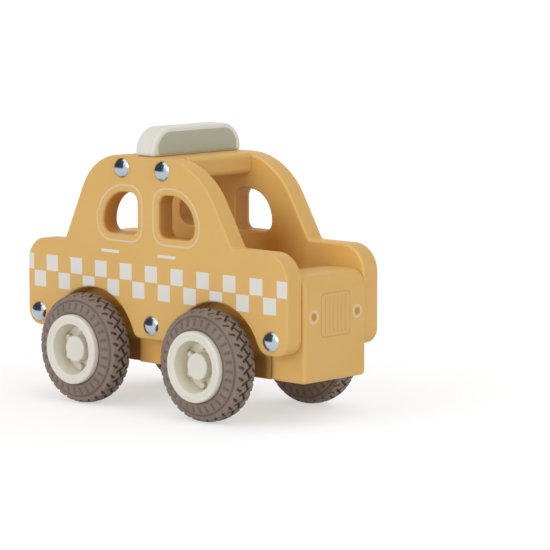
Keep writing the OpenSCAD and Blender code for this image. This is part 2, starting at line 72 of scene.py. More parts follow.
photo_camera = bpy.data.objects.new("photo_camera", bpy.data.cameras.new("photo_camera"))
photo_camera.data.sensor_width = SENSOR_MM
photo_camera.data.lens = SENSOR_MM * FOCAL_PX / FRAME_PX
photo_camera.location = CAMERA_AT
photo_camera.rotation_euler = aimed_at_car(VIEW_AZIMUTH, VIEW_ELEVATION)
bpy.context.collection.objects.link(photo_camera)
bpy.context.scene.camera = photo_camera
bpy.context.scene.view_settings.view_transform = "Standard"
print("lens", round(photo_camera.data.lens, 1), "mm")

# %% [markdown]
# ## Floor
# The toy stands on a white studio floor. Plain white paint would do, but it shows a heavy shadow under
# the car. So the floor has two looks. The rays that light the car meet white paint. The rays that look
# at the floor, straight or in a reflection, meet a greyer paint with a glow of its own. Together these
# two are white again, and only the paint's half can be shaded, which leaves a pale soft shadow.

# %% Floor
def srgb(red, green, blue):
    """A colour written as 0 to 255 steps, as the linear colour that the shaders take."""
    steps = [c / 255 for c in (red, green, blue)]
    linear = [c / 12.92 if c <= 0.04045 else ((c + 0.055) / 1.055) ** 2.4 for c in steps]
    return (*linear, 1.0)


def new_finish(name):
    """An empty material with its Principled shader and its tree."""
    finish = bpy.data.materials.new(name)
    finish.use_nodes = True
    return finish, finish.node_tree, finish.node_tree.nodes["Principled BSDF"]


def looking(tree):
    """1 for rays that look at a surface, straight or in a mirror, and 0 for rays that light it."""
    ray = tree.nodes.new("ShaderNodeLightPath")
    looks = ray.outputs["Is Camera Ray"]
    for kind in ("Is Glossy Ray", "Is Transmission Ray"):
        either = tree.nodes.new("ShaderNodeMath")
        either.operation = "MAXIMUM"
        tree.links.new(looks, either.inputs[0])
        tree.links.new(ray.outputs[kind], either.inputs[1])
        looks = either.outputs[0]
    return looks


WHITE, FLOOR_HALF = (1.0, 1.0, 1.0, 1.0), 30.0
LIT_PAINT, SEEN_PAINT, SEEN_GLOW = 0.92, 0.5, 0.55
floor_corners = [(a * FLOOR_HALF, b * FLOOR_HALF, 0.0) for a, b in ((-1, -1), (1, -1), (1, 1), (-1, 1))]
floor_mesh = bpy.data.meshes.new("studio_floor")
floor_mesh.from_pydata(floor_corners, [], [(0, 1, 2, 3)])
studio_floor = bpy.data.objects.new("studio_floor", floor_mesh)
bpy.context.collection.objects.link(studio_floor)
floor_finish, floor_tree, floor_shader = new_finish("studio_floor")
floor_shader.inputs["Roughness"].default_value = 0.9
floor_shader.inputs["Specular IOR Level"].default_value = 0.0
floor_shader.inputs["Emission Color"].default_value = WHITE
floor_seen = looking(floor_tree)
floor_looks = {"Base Color": (LIT_PAINT, SEEN_PAINT), "Emission Strength": (0.0, SEEN_GLOW)}
for socket, (lit, shown) in floor_looks.items():
    choice = floor_tree.nodes.new("ShaderNodeMapRange")
    choice.inputs["To Min"].default_value = lit
    choice.inputs["To Max"].default_value = shown
    floor_tree.links.new(floor_seen, choice.inputs["Value"])
    floor_tree.links.new(choice.outputs["Result"], floor_shader.inputs[socket])
floor_mesh.materials.append(floor_finish)
print("floor", [round(d, 1) for d in studio_floor.dimensions])

# %% [markdown]
# ## Light
# The world is white to look at and dim as a light, so it fills the shadows without washing the paint
# out. Five broad suns stand in for softboxes: unlike an area lamp, a sun lights the floor the same
# everywhere, and a wide angle keeps its shadow soft. A polished screw would mirror all five as a
# crowd of bright spots, so only the side and the top lamp show in reflections.

# %% Light
AMBIENT = 0.25
world = bpy.data.worlds.new("studio")
world.use_nodes = True
bpy.context.scene.world = world
sky = world.node_tree
fill, seen = sky.nodes["Background"], sky.nodes.new("ShaderNodeBackground")
fill.inputs["Color"].default_value = seen.inputs["Color"].default_value = WHITE
fill.inputs["Strength"].default_value = AMBIENT
pick = sky.nodes.new("ShaderNodeMixShader")
sky.links.new(looking(sky), pick.inputs["Fac"])
sky.links.new(fill.outputs[0], pick.inputs[1])
sky.links.new(seen.outputs[0], pick.inputs[2])
sky.links.new(pick.outputs[0], sky.nodes["World Output"].inputs["Surface"])


def soft_sun(name, azimuth, elevation, strength, spread):
    """A sun from a direction round the car, broad enough to throw a soft shadow."""
    lamp = bpy.data.objects.new(name, bpy.data.lights.new(name, "SUN"))
    lamp.data.energy = strength
    lamp.data.angle = math.radians(spread)
    lamp.rotation_euler = aimed_at_car(azimuth, elevation)
    bpy.context.collection.objects.link(lamp)
    return lamp


mirrored = [soft_sun("side_softbox", 80, 25, 0.8, 40), soft_sun("top_softbox", 0, 85, 1.15, 100)]
unmirrored = [soft_sun("key_softbox", -28, 30, 0.5, 50), soft_sun("low_fill", 4, 5, 1.1, 50),
              soft_sun("back_fill", 178, 28, 0.8, 60)]
for lamp in unmirrored:
    lamp.visible_glossy = False
print("lamps", [(lamp.name, round(lamp.data.energy, 2)) for lamp in mirrored + unmirrored])

# %% [markdown]
# ## Dark cards
# The chrome screws need something dark to mirror, or they look like white buttons. A studio is dark
# above and beyond its lamps, so two tall curved cards stand round the car's rear and front corners.
# Only reflections see them: they throw no shadow and the camera looks through them.

# %% Dark cards
CARD_AWAY, CARD_LOW, CARD_HIGH, CARD_STEPS = 1.6, 0.06, 5.0, 24


def dark_card(name, first, last):
    """A tall dark card, curved round the car from one azimuth to another."""
    turns = [first + (last - first) * k / CARD_STEPS for k in range(CARD_STEPS + 1)]
    feet = [towards(turn, 0.0) * CARD_AWAY for turn in turns]
    mesh = bpy.data.meshes.new(name)
    mesh.from_pydata([(foot.x, foot.y, z) for foot in feet for z in (CARD_LOW, CARD_HIGH)], [],
                     [(2 * k, 2 * k + 1, 2 * k + 3, 2 * k + 2) for k in range(CARD_STEPS)])
    card = bpy.data.objects.new(name, mesh)
    bpy.context.collection.objects.link(card)
    for kind in ("camera", "diffuse", "transmission", "shadow"):
        setattr(card, "visible_" + kind, False)
    mesh.materials.append(card_finish)
    return card


card_finish, _, card_shader = new_finish("dark_card")
card_shader.inputs["Base Color"].default_value = srgb(66, 70, 84)
card_shader.inputs["Roughness"].default_value = 0.9
cards = [dark_card("card_rear", -118, 24), dark_card("card_front", 105, 205)]
print("cards", [card.name for card in cards])

# %% [markdown]
# ## Sums on a surface
# Every print on this toy is a rule: squares in two rows, a line at a set distance from a window, a
# ring round a headlight. A picture would be simpler, but it would be a fixed size and would blur.
# Math nodes can draw the rule itself at any size, so this small class lets a formula be written
# as arithmetic and lays down one Math node for each step. A print has sharp limits, and a tone that
# fades, such as painted shade in a corner, is a ramp from 0 to its full strength.

# %% Field arithmetic
class Field:
    """A number that varies over a surface. Arithmetic on it adds Math nodes to its tree."""

    def __init__(self, tree, socket):
        self.tree, self.socket = tree, socket

    def step(self, operation, *others):
        """One Math node on this field and others, or plain numbers."""
        node = self.tree.nodes.new("ShaderNodeMath")
        node.operation = operation
        for place, value in zip(node.inputs, (self, *others)):
            if isinstance(value, Field):
                self.tree.links.new(value.socket, place)
            else:
                place.default_value = value
        return Field(self.tree, node.outputs[0])

    def __add__(self, other): return self.step("ADD", other)

    def __sub__(self, other): return self.step("SUBTRACT", other)

    def __mul__(self, other): return self.step("MULTIPLY", other)

    def __truediv__(self, other): return self.step("DIVIDE", other)

    def __abs__(self): return self.step("ABSOLUTE")

    def above(self, limit): return self.step("GREATER_THAN", limit)

    def below(self, limit): return self.step("LESS_THAN", limit)

    def most(self, other): return self.step("MAXIMUM", other)

    def least(self, other): return self.step("MINIMUM", other)

    def between(self, low, high): return self.above(low) * self.below(high)

    def ramp(self, start, full, limit=1.0):
        """Rises from 0 at start to 1 at full, but no higher than a limit."""
        return ((self - start) / (full - start)).most(0.0).least(limit)


print("a field can", [name for name in vars(Field) if not name.startswith("_")])

# %% Distances
def hypotenuse(a, b):
    """Distance from where both a and b are 0."""
    return (a.step("POWER", 2.0) + b.step("POWER", 2.0)).step("SQRT")


def surface_mm(tree):
    """The X, Y and Z of a surface point in millimetres, and its plain coordinate in metres."""
    coordinate = tree.nodes.new("ShaderNodeTexCoord").outputs["Object"]
    parts = tree.nodes.new("ShaderNodeSeparateXYZ")
    tree.links.new(coordinate, parts.inputs[0])
    return [Field(tree, out) * 1000.0 for out in parts.outputs], coordinate


def rounded_box_distance(across, up, middle, half, radii):
    """Distance outside a rounded rectangle. radii: upper and lower right, upper and lower left."""
    a, b = across - middle[0], up - middle[1]
    right, upper = a.above(0.0), b.above(0.0)
    right_r = upper * (radii[0] - radii[1]) + radii[1]
    left_r = upper * (radii[2] - radii[3]) + radii[3]
    radius = right * (right_r - left_r) + left_r
    qa, qb = abs(a) - half[0] + radius, abs(b) - half[1] + radius
    outside = hypotenuse(qa.most(0.0), qb.most(0.0))
    return outside + qa.most(qb).least(0.0) - radius


print("distances ready")

# %% [markdown]
# ## Effects that several finishes share
# The boards, blocks and sign all have the same satin paint over sanded wood, so its faint mottling
# and grain are made once as a node group, with the colour as an input. Ink printed on paint is a
# second group, and the fine unevenness of moulded or polished pieces is a third. A group only puts
# out colours and heights: each material keeps its own shader.

# %% Group helpers
def new_group(name, inputs, outputs):
    """A shader node group with named sockets, and its inner input and output nodes."""
    group = bpy.data.node_groups.new(name, "ShaderNodeTree")
    for direction, sockets in (("INPUT", inputs), ("OUTPUT", outputs)):
        for label, kind in sockets:
            group.interface.new_socket(label, in_out=direction, socket_type="NodeSocket" + kind)
    return group, group.nodes.new("NodeGroupInput"), group.nodes.new("NodeGroupOutput")


def noise_field(tree, vector, scale, detail=3.0, roughness=0.5):
    """Noise read at a coordinate, as a field from about 0 to 1."""
    node = tree.nodes.new("ShaderNodeTexNoise")
    node.inputs["Detail"].default_value = detail
    node.inputs["Roughness"].default_value = roughness
    for place, value in (("Vector", vector), ("Scale", scale)):
        if isinstance(value, bpy.types.NodeSocket):
            tree.links.new(value, node.inputs[place])
        else:
            node.inputs[place].default_value = value
    return Field(tree, node.outputs["Fac"])


def stretched(tree, vector, scale):
    """A coordinate scaled by a different amount along each axis."""
    node = tree.nodes.new("ShaderNodeMapping")
    tree.links.new(vector, node.inputs["Vector"])
    node.inputs["Scale"].default_value = scale
    return node.outputs["Vector"]


def blended(tree, amount, first, second):
    """Two colours mixed by a field."""
    node = tree.nodes.new("ShaderNodeMix")
    node.data_type = "RGBA"
    tree.links.new(amount.socket, node.inputs[0])
    for place, value in ((node.inputs[6], first), (node.inputs[7], second)):
        if isinstance(value, bpy.types.NodeSocket):
            tree.links.new(value, place)
        else:
            place.default_value = value
    return node.outputs[2]


print("group helpers ready")

# %% Shared groups
def build_painted_wood():
    """Satin paint on sanded wood: broad mottling, grain that telegraphs through, fine pores."""
    group, given, out = new_group("painted_wood",
                                  [("Vector", "Vector"), ("Paint", "Color"), ("Shade", "Color")],
                                  [("Color", "Color"), ("Roughness", "Float"), ("Height", "Float")])
    vector = given.outputs["Vector"]
    mottle = noise_field(group, vector, 28.0, 4.0)
    grain = noise_field(group, stretched(group, vector, (40.0, 400.0, 400.0)), 2.0, 4.0, 0.6)
    pores = noise_field(group, vector, 2600.0, 2.0)
    uneven = (mottle * 0.7 + grain * 0.3 - 0.30) * 1.4
    group.links.new(blended(group, uneven, given.outputs["Paint"], given.outputs["Shade"]),
                    out.inputs["Color"])
    group.links.new((mottle * 0.12 + pores * 0.06 + 0.38).socket, out.inputs["Roughness"])
    group.links.new((grain * 0.7 + pores * 0.3).socket, out.inputs["Height"])
    return group


def build_printed_ink():
    """Ink laid on paint: the mask shows its colour, a little thin where the pad missed."""
    group, given, out = new_group("printed_ink",
                                  [("Vector", "Vector"), ("Paint", "Color"), ("Ink", "Color"),
                                   ("Mask", "Float")],
                                  [("Color", "Color"), ("Height", "Float")])
    speckle = noise_field(group, given.outputs["Vector"], 3500.0, 2.0)
    cover = Field(group, given.outputs["Mask"]) * (speckle * 0.16 + 0.88).least(1.0)
    group.links.new(blended(group, cover, given.outputs["Paint"], given.outputs["Ink"]),
                    out.inputs["Color"])
    group.links.new(cover.socket, out.inputs["Height"])
    return group


def build_fine_unevenness():
    """Moulded or polished skin: a cloudy tone for the colour and a fine grain for the bump."""
    group, given, out = new_group("fine_unevenness",
                                  [("Vector", "Vector"), ("Scale", "Float"),
                                   ("Light", "Color"), ("Dark", "Color")],
                                  [("Color", "Color"), ("Cloud", "Float"), ("Height", "Float")])
    cloud = noise_field(group, given.outputs["Vector"], 90.0, 4.0)
    fine = noise_field(group, given.outputs["Vector"], given.outputs["Scale"], 3.0)
    tone = blended(group, (cloud - 0.3) * 1.6, given.outputs["Light"], given.outputs["Dark"])
    group.links.new(tone, out.inputs["Color"])
    group.links.new(cloud.socket, out.inputs["Cloud"])
    group.links.new(fine.socket, out.inputs["Height"])
    return group


painted_wood, printed_ink = build_painted_wood(), build_printed_ink()
fine_unevenness = build_fine_unevenness()
print("groups", [g.name for g in (painted_wood, printed_ink, fine_unevenness)])

# %% [markdown]
# ## Ochre paint
# The boards and the blocks are one warm ochre, sprayed on in a satin coat. One function makes every
# such finish: it puts the painted wood down first and then each print over it, so a finish only has
# to say what its own prints are.

# %% Ochre paint
OCHRE, OCHRE_SHADE = srgb(216, 174, 103), srgb(209, 165, 92)
INK_WHITE, INK_LINE = srgb(217, 216, 211), srgb(212, 193, 165)
INK_RISE, COAT_BUMP, SATIN = 0.6, (0.25, 0.00012), 0.35


def place_group(tree, group, coordinate, **values):
    """A group node fed with the surface coordinate; values are colours, numbers or sockets."""
    node = tree.nodes.new("ShaderNodeGroup")
    node.node_tree = group
    tree.links.new(coordinate, node.inputs["Vector"])
    for label, value in values.items():
        if isinstance(value, Field):
            value = value.socket
        if isinstance(value, bpy.types.NodeSocket):
            tree.links.new(value, node.inputs[label])
        else:
            node.inputs[label].default_value = value
    return node


def raise_surface(tree, shader, height, strength, distance):
    """A bump on the shader from a height field."""
    bump = tree.nodes.new("ShaderNodeBump")
    bump.inputs["Strength"].default_value = strength
    bump.inputs["Distance"].default_value = distance
    tree.links.new(height.socket, bump.inputs["Height"])
    tree.links.new(bump.outputs["Normal"], shader.inputs["Normal"])


def painted_finish(name, paint, shade, prints):
    """Satin paint with prints: prints(x, y, z) gives (ink colour, mask) pairs."""
    finish, tree, shader = new_finish(name)
    (x, y, z), coordinate = surface_mm(tree)
    wood = place_group(tree, painted_wood, coordinate, Paint=paint, Shade=shade)
    colour, height = wood.outputs["Color"], Field(tree, wood.outputs["Height"])
    for ink, mask in prints(x, y, z):
        layer = place_group(tree, printed_ink, coordinate, Paint=colour, Ink=ink, Mask=mask)
        colour = layer.outputs["Color"]
        height = height + Field(tree, layer.outputs["Height"]) * INK_RISE
    tree.links.new(colour, shader.inputs["Base Color"])
    tree.links.new(wood.outputs["Roughness"], shader.inputs["Roughness"])
    raise_surface(tree, shader, height, *COAT_BUMP)
    shader.inputs["Specular IOR Level"].default_value = SATIN
    return finish


def no_print(x, y, z):
    """Bare paint."""
    return []


plain_ochre = painted_finish("ochre_paint", OCHRE, OCHRE_SHADE, no_print)
print("finish", plain_ochre.name)

# %% [markdown]
# ## Prints on the side boards
# On the outer face of each board two rows of white checks run under the windows, a thin pale line
# follows each window, and a short dash stands for each door handle. The ink sits on the flat face only,
# so its mask stops where the rounded edge falls away. The coat also carries painted light and shade:
# the inner faces are painted lighter, and the window reveals and the low cab corner a deeper orange.

# %% Board prints
CHECK_W, CHECK_H, CHECK_X, CHECK_Z, CHECK_GAP = 8.0, 7.75, -77.0, 49.5, 0.19
POST_X, PRINT_FACE = -3.067, 29.4
CAB_CORNER_X, CAB_CORNER_Z = 27.0, 72.0
# Painted shade and painted light: a deeper orange for shade and warm bounce, and a lighter ochre for
# light.
PAINTED_SHADE_OCHRE, PAINTED_LIGHT_OCHRE = srgb(186, 119, 38), srgb(231, 186, 106)


def two_rows_of_checks(x, z):
    """Every other square of two rows, with a hair line of paint round each."""
    u, v = (x - CHECK_X) / CHECK_W, (z - CHECK_Z) / CHECK_H
    odd = (u.step("FLOOR") + v.step("FLOOR")).step("FLOORED_MODULO", 2.0)
    inside = (abs(u.step("FRACT") - 0.5).below(0.5 - CHECK_GAP / CHECK_W)
              * abs(v.step("FRACT") - 0.5).below(0.5 - CHECK_GAP / CHECK_H))
    return odd.below(0.5) * inside * abs(v - 1.0).below(1.0)


def board_prints(x, y, z):
    """Coat and ink of a side board, lowest layer first."""
    outer_face = abs(y).above(PRINT_FACE)
    window = rounded_box_distance(abs(x - POST_X), z, (17.7, 87.4), (14.2, 12.6),
                                  (17.0, 8.2, 7.8, 6.8))
    rear_handle, front_handle = abs(x + 26.9).below(5.6), abs(x - 8.75).below(5.55)
    handles = abs(z - 69.7).below(0.7) * rear_handle.most(front_handle)
    white = two_rows_of_checks(x, z).most(handles)
    # Painted light: the inner faces are painted lighter, standing in for light between the boards.
    inner_face = abs(y).ramp(21.1, 20.0, 0.75)
    # Painted shade: the window reveals and the low corner of the cab are painted a deeper orange.
    reveal = window.below(-2.9) * abs(y).ramp(28.9, 26.9, 0.75)
    from_corner = hypotenuse(x - CAB_CORNER_X, z - CAB_CORNER_Z)
    cab_corner = from_corner.ramp(21.0, 3.0) * inner_face * 1.2
    return [(PAINTED_LIGHT_OCHRE, inner_face), (PAINTED_SHADE_OCHRE, reveal.most(cab_corner)),
            (INK_LINE, abs(window).below(0.4) * outer_face), (INK_WHITE, white * outer_face)]


board_paint = painted_finish("board_paint", OCHRE, OCHRE_SHADE, board_prints)
print("finish", board_paint.name, len(board_paint.node_tree.nodes), "nodes")

# %% [markdown]
# ## Prints on the front block
# The front face has a barred grille in a thin frame and a headlight on either side, a pale ring with
# a dark dot. The bars repeat, so they are one bar in every step of 2.6 mm. The block's sides are
# painted lighter, as painted light, like the boards' inner faces, and it fades towards the nose.

# %% Front block prints
LAMP_DOT, GRILLE_LINE = srgb(188, 130, 56), srgb(197, 156, 103)
LAMP_Y, LAMP_Z, BAR_STEP = 14.1, 48.25, 2.6


def block_prints(x, y, z):
    """Coat and ink of an end block. The ink lies on the front block's face alone."""
    front_face = x.above(82.35)
    to_lamp = hypotenuse(abs(y) - LAMP_Y, z - LAMP_Z)
    ring = abs(to_lamp - 2.65).below(0.45)
    grille = rounded_box_distance(y, z, (0.0, 48.35), (9.3, 9.55), (2.2, 2.2, 2.2, 2.2))
    frame_line = abs(grille).below(0.36)
    bars = abs((y / BAR_STEP).step("FRACT") - 0.5).below(0.15)
    bars = bars * abs(y).below(7.8) * abs(z - 48.4).below(8.0)
    # Painted light: the sides are painted lighter, fading towards the nose.
    sides = abs(y).ramp(18.2, 20.0) * abs(x).ramp(81.0, 68.5)
    return [(PAINTED_LIGHT_OCHRE, sides), (GRILLE_LINE, frame_line.most(bars) * front_face),
            (INK_LINE, ring * front_face), (LAMP_DOT, to_lamp.below(1.5) * front_face)]


block_paint = painted_finish("block_paint", OCHRE, OCHRE_SHADE, block_prints)
print("finish", block_paint.name)

# %% [markdown]
# ## Rounded boards
# The side boards, the end blocks, the roof board and the sign are all flat stock with a shaped
# outline and a softened edge. A cube with a bevel can't hold an outline with arches and windows, and
# a bevelled curve gives no say over the shading. Here the outline is a list of corners with a radius
# each. It is stepped round into points that know which way they face, and every ring of the edge is
# an exact offset of it, so the normals can be written down instead of guessed.

# %% Rounded outlines
def rounded_outline(corners, degrees=6.0):
    """Points (a, b, na, nb) anticlockwise round corners (a, b, radius), with outward normals."""
    points = []
    for k, (a, b, radius) in enumerate(corners):
        here = Vector((a, b))
        arriving = (here - Vector(corners[k - 1][:2])).normalized()
        leaving = (Vector(corners[(k + 1) % len(corners)][:2]) - here).normalized()
        turn = math.atan2(arriving.x * leaving.y - arriving.y * leaving.x, arriving.dot(leaving))
        bulge = math.copysign(radius, turn)
        centre = here - arriving * abs(radius * math.tan(turn / 2))
        centre += Vector((-arriving.y, arriving.x)) * bulge
        steps = math.ceil(math.degrees(abs(turn)) / degrees) if radius else 0
        first = math.atan2(-arriving.x, arriving.y)
        for s in range(steps + 1):
            facing = first + turn * (s / steps if steps else 0.5)
            na, nb = math.cos(facing), math.sin(facing)
            point = (centre.x + na * bulge, centre.y + nb * bulge, na, nb)
            if not points or math.dist(point[:2], points[-1][:2]) > 0.01:
                points.append(point)
    return points


print("outline maker ready")

# %% Rounded boards
def finish_mesh(name, bm, normals, finish):
    """An object from a bmesh, facing outwards, with the normals that its maker gives."""
    bmesh.ops.recalc_face_normals(bm, faces=bm.faces)
    mesh = bpy.data.meshes.new(name)
    bm.to_mesh(mesh)
    bm.free()
    mesh.shade_smooth()
    if normals:
        mesh.normals_split_custom_set_from_vertices(normals)
    mesh.materials.append(finish)
    piece = bpy.data.objects.new(name, mesh)
    bpy.context.collection.objects.link(piece)
    return piece


def rounded_board(name, outline, openings, low, high, edge, along, finish):
    """Flat stock between two faces, its rim and openings softened by an edge radius, in mm.

    edge may be a function of an outline point that gives its draw in along a and b, and its depth."""
    bm, normals = bmesh.new(), []
    soften = edge if callable(edge) else lambda a, b, na, nb: (na * edge, nb * edge, edge)
    # The edge swings through a quarter turn at each face, in steps of 15 degrees.
    swings = [math.radians(15 * s) for s in range(-6, 7)]
    rings = [(low, t) for t in swings if t <= 0] + [(high, t) for t in swings if t >= 0]
    loops = [rounded_outline(outline)]
    loops += [[(a, b, -na, -nb) for a, b, na, nb in reversed(rounded_outline(hole))]
              for hole in openings]
    cap_edges = {0: [], len(rings) - 1: []}
    for loop in loops:
        last = None
        for r, (face, t) in enumerate(rings):
            ring = []
            for a, b, na, nb in loop:
                draw_a, draw_b, deep = soften(a, b, na, nb)
                a, b = a - draw_a * (1 - math.cos(t)), b - draw_b * (1 - math.cos(t))
                inwards = -1 if face == high else 1
                depth = face + inwards * deep * (1 - abs(math.sin(t)))
                flat = (na * math.cos(t), nb * math.cos(t))
                if along == "y":
                    ring.append(bm.verts.new((a * MM, depth * MM, b * MM)))
                    normals.append((flat[0], math.sin(t), flat[1]))
                else:
                    ring.append(bm.verts.new((depth * MM, a * MM, b * MM)))
                    normals.append((math.sin(t), flat[0], flat[1]))
            for k in range(len(ring)):
                if r in cap_edges:
                    cap_edges[r].append(bm.edges.new((ring[k - 1], ring[k])))
                if last:
                    bm.faces.new((last[k - 1], last[k], ring[k], ring[k - 1]))
            last = ring
    for edges in cap_edges.values():
        bmesh.ops.triangle_fill(bm, edges=edges, use_beauty=True)
    return finish_mesh(name, bm, normals, finish)


print("board maker ready")

# %% [markdown]
# ## Side boards
# Each side is one board sawn to the outline of a taxi, with a rounded roof, two wheel arches and two
# windows. Both sides are the same outline, so it is written once, anticlockwise, as corners with their
# radii. A wheel arch is four corners: two feet and two very round shoulders that meet over the tyre.

# %% Side boards
BOARD_IN, BOARD_FACE, BOARD_EDGE = 20.0, 29.7, 1.1
ARCH_X, SILL_Z, ROOF_Z = 38.4888, 31.8, 113.2
ARCH_FOOT, ARCH_SHOULDER, ARCH_TOP, ARCH_R = 26.75, 17.66, 52.2, 27.2


def arch(x, rear_r, front_r):
    """Corners of one wheel arch, rear foot first."""
    return [(x - ARCH_FOOT, SILL_Z, rear_r), (x - ARCH_SHOULDER, ARCH_TOP, ARCH_R),
            (x + ARCH_SHOULDER, ARCH_TOP, ARCH_R), (x + ARCH_FOOT, SILL_Z, front_r)]


def window(side):
    """Corners of one window, to the front (1) or the rear (-1) of the post between the doors."""
    corners = [(6.707, 78.0, 3.585), (28.739, 78.0, 4.906), (28.739, 96.87, 13.775),
               (6.707, 96.87, 4.529)]
    return [(POST_X + side * a, b, r) for a, b, r in (corners if side > 0 else reversed(corners))]


board_outline = ([(-81.2, SILL_Z, 7.342)] + arch(-ARCH_X, 7.02, 4.0) + arch(ARCH_X, 4.0, 7.02)
                 + [(81.2, SILL_Z, 7.342), (81.2, 76.2, 12.5), (48.395, 76.2, 2.5),
                    (27.033, ROOF_Z, 36.0), (-37.768, ROOF_Z, 26.0), (-56.84, 72.3, 2.5),
                    (-81.2, 72.3, 11.0)])
for side, low, high in (("right", -BOARD_FACE, -BOARD_IN), ("left", BOARD_IN, BOARD_FACE)):
    board = rounded_board(f"board_{side}", board_outline, [window(-1), window(1)],
                          low, high, BOARD_EDGE, "y", board_paint)
    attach(board, "car_body")
    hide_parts(f"side_panel_{side}")
    print(board.name, len(board.data.polygons), "faces")

# %% [markdown]
# ## End blocks and roof board
# The blocks that close the front and the rear are the same piece turned round: square stock with a
# big radius along the upper outer edge, like a bonnet. Its upright edges beside the wheels are rounded
# more than the rest, so the edge is a function here instead of one radius. The roof board is a plain
# slat between the side boards. Both are made as the side boards are, only thicker or shorter.

# %% End blocks and roof
BLOCK_EDGE, BACK_EDGE, SLAT_EDGE = 1.8, 4.5, 0.3
BLOCK_BACK, BLOCK_MID, BLOCK_NOSE = 60.8, 66.5, 82.6
BLOCK_LOW, BLOCK_TOP, SLAT_LOW = 19.3, 66.3, 103.8


def block_edge(a, b, na, nb):
    """A small radius round the block, and a large one where it stands beside a wheel."""
    if abs(a) > BLOCK_BACK + 0.1:
        return na * BLOCK_EDGE, nb * BLOCK_EDGE, BLOCK_EDGE
    return math.copysign(BACK_EDGE, na), round(nb) * BLOCK_EDGE, BACK_EDGE


block_corners = [(BLOCK_BACK, BLOCK_LOW, 0.0), (BLOCK_MID, BLOCK_LOW, 0.0),
                 (BLOCK_NOSE, BLOCK_LOW, 2.2), (BLOCK_NOSE, BLOCK_TOP, 7.5),
                 (BLOCK_MID, BLOCK_TOP, 0.0), (BLOCK_BACK, BLOCK_TOP, 0.0),
                 (BLOCK_BACK, 64.4, 0.0), (BLOCK_BACK, 21.2, 0.0)]
block_outlines = {"front": block_corners, "rear": [(-a, b, r) for a, b, r in reversed(block_corners)]}
for end, corners in block_outlines.items():
    block = rounded_board(f"{end}_end_block", corners, [], -BOARD_IN, BOARD_IN, block_edge, "y",
                          block_paint)
    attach(block, "car_body")
    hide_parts(f"{end}_block")
    print(block.name, len(block.data.polygons), "faces")

roof_corners = [(-24.16, SLAT_LOW, 2.4), (13.42, SLAT_LOW, 2.4), (13.42, ROOF_Z, 2.4),
                (-24.16, ROOF_Z, 2.4)]
roof = rounded_board("roof_slat", roof_corners, [], -BOARD_IN, BOARD_IN, SLAT_EDGE, "y", plain_ochre)
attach(roof, "car_body")
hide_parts("roof_board")
print(roof.name, len(roof.data.polygons), "faces")

# %% [markdown]
# ## Roof sign
# The sign is a cream bar across the roof with rounded shoulders. A sage-green field is printed on
# its front face, a little smaller than the face, with the same shoulders. The rear face carries
# the same field. The green is a mask from the distance to a rounded rectangle.

# %% Roof sign
SIGN_X, SIGN_HALF, SIGN_TOP, SIGN_EDGE = -6.367, 5.75, 126.0, 1.5
CREAM, CREAM_SHADE, SAGE = srgb(222, 219, 210), srgb(216, 212, 201), srgb(172, 175, 157)


def sign_prints(x, y, z):
    """The sage field on the two wide faces."""
    wide_face = abs(x - SIGN_X).above(5.45)
    field = rounded_box_distance(y, z, (0.0, 118.95), (25.0, 5.05), (8.0, 1.5, 8.0, 1.5))
    return [(SAGE, field.below(0.0) * wide_face)]


sign_paint = painted_finish("sign_paint", CREAM, CREAM_SHADE, sign_prints)
sign_corners = [(-28.2, ROOF_Z, 1.7), (28.2, ROOF_Z, 1.7), (28.2, SIGN_TOP, 11.0),
                (-28.2, SIGN_TOP, 11.0)]
sign = rounded_board("taxi_sign", sign_corners, [], SIGN_X - SIGN_HALF, SIGN_X + SIGN_HALF, SIGN_EDGE,
                     "x", sign_paint)
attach(sign, "car_body")
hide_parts("roof_sign")
print(sign.name, len(sign.data.polygons), "faces")

# %% [markdown]
# ## Turned pieces
# Screw heads, hubs, caps and the body of a tyre are round about one axis. Blender's Screw modifier
# could spin a profile, but the profile here already carries exact normals, so the spin is done by
# hand: one ring of points for each point of the profile, and a single point on the axis.

# %% Turned pieces
def turned(name, profile, around, finish, place, exact=True):
    """Spins profile points (radius, out, nr, nout) about an axis.

    place maps a radius, a distance out and an angle to X, Y and Z, all in mm."""
    bm, normals, rings = bmesh.new(), [], []
    for radius, out, nr, nout in profile:
        on_axis, ring = radius < 1e-6, []
        for k in range(1 if on_axis else around):
            angle = 2 * math.pi * k / around
            ring.append(bm.verts.new([c * MM for c in place(radius, out, angle)]))
            facing = Vector(place(0.0 if on_axis else nr, nout, angle)) - Vector(place(0, 0, 0))
            normals.append(facing.normalized())
        rings.append(ring)
    for k, ring in enumerate(rings):
        before = rings[k - 1]
        for s in range(around):
            corners = [before[s % len(before)], before[(s + 1) % len(before)],
                       ring[(s + 1) % len(ring)], ring[s % len(ring)]]
            corners = list(dict.fromkeys(corners))
            if len(corners) > 2:
                bm.faces.new(corners)
    return finish_mesh(name, bm, normals if exact else None, finish)


def dome_profile(radius, height, base, steps=9):
    """Profile of a dome head: a flat underside, a small rim and a ball-shaped top."""
    ball = (radius ** 2 + height ** 2) / (2 * height)
    widest = math.asin(radius / ball)
    points = [(0.0, base, 0.0, -1.0), (radius - 0.02, base, 0.0, -1.0)]
    for s in range(steps, -1, -1):
        t = widest * s / steps
        top = base + height - ball * (1 - math.cos(t))
        points.append((ball * math.sin(t), top, math.sin(t), math.cos(t)))
    points[-1] = (0.0, base + height, 0.0, 1.0)
    return points


print("turning ready")

# %% [markdown]
# ## Chrome finish
# The screws are polished and plated, so they are metal with a low roughness and hardly any bump. Drawn
# steel and moulded plastic differ from chrome only in their values, so one function makes all three.
# A finish may name a tone, which tints the skin where its mask says.

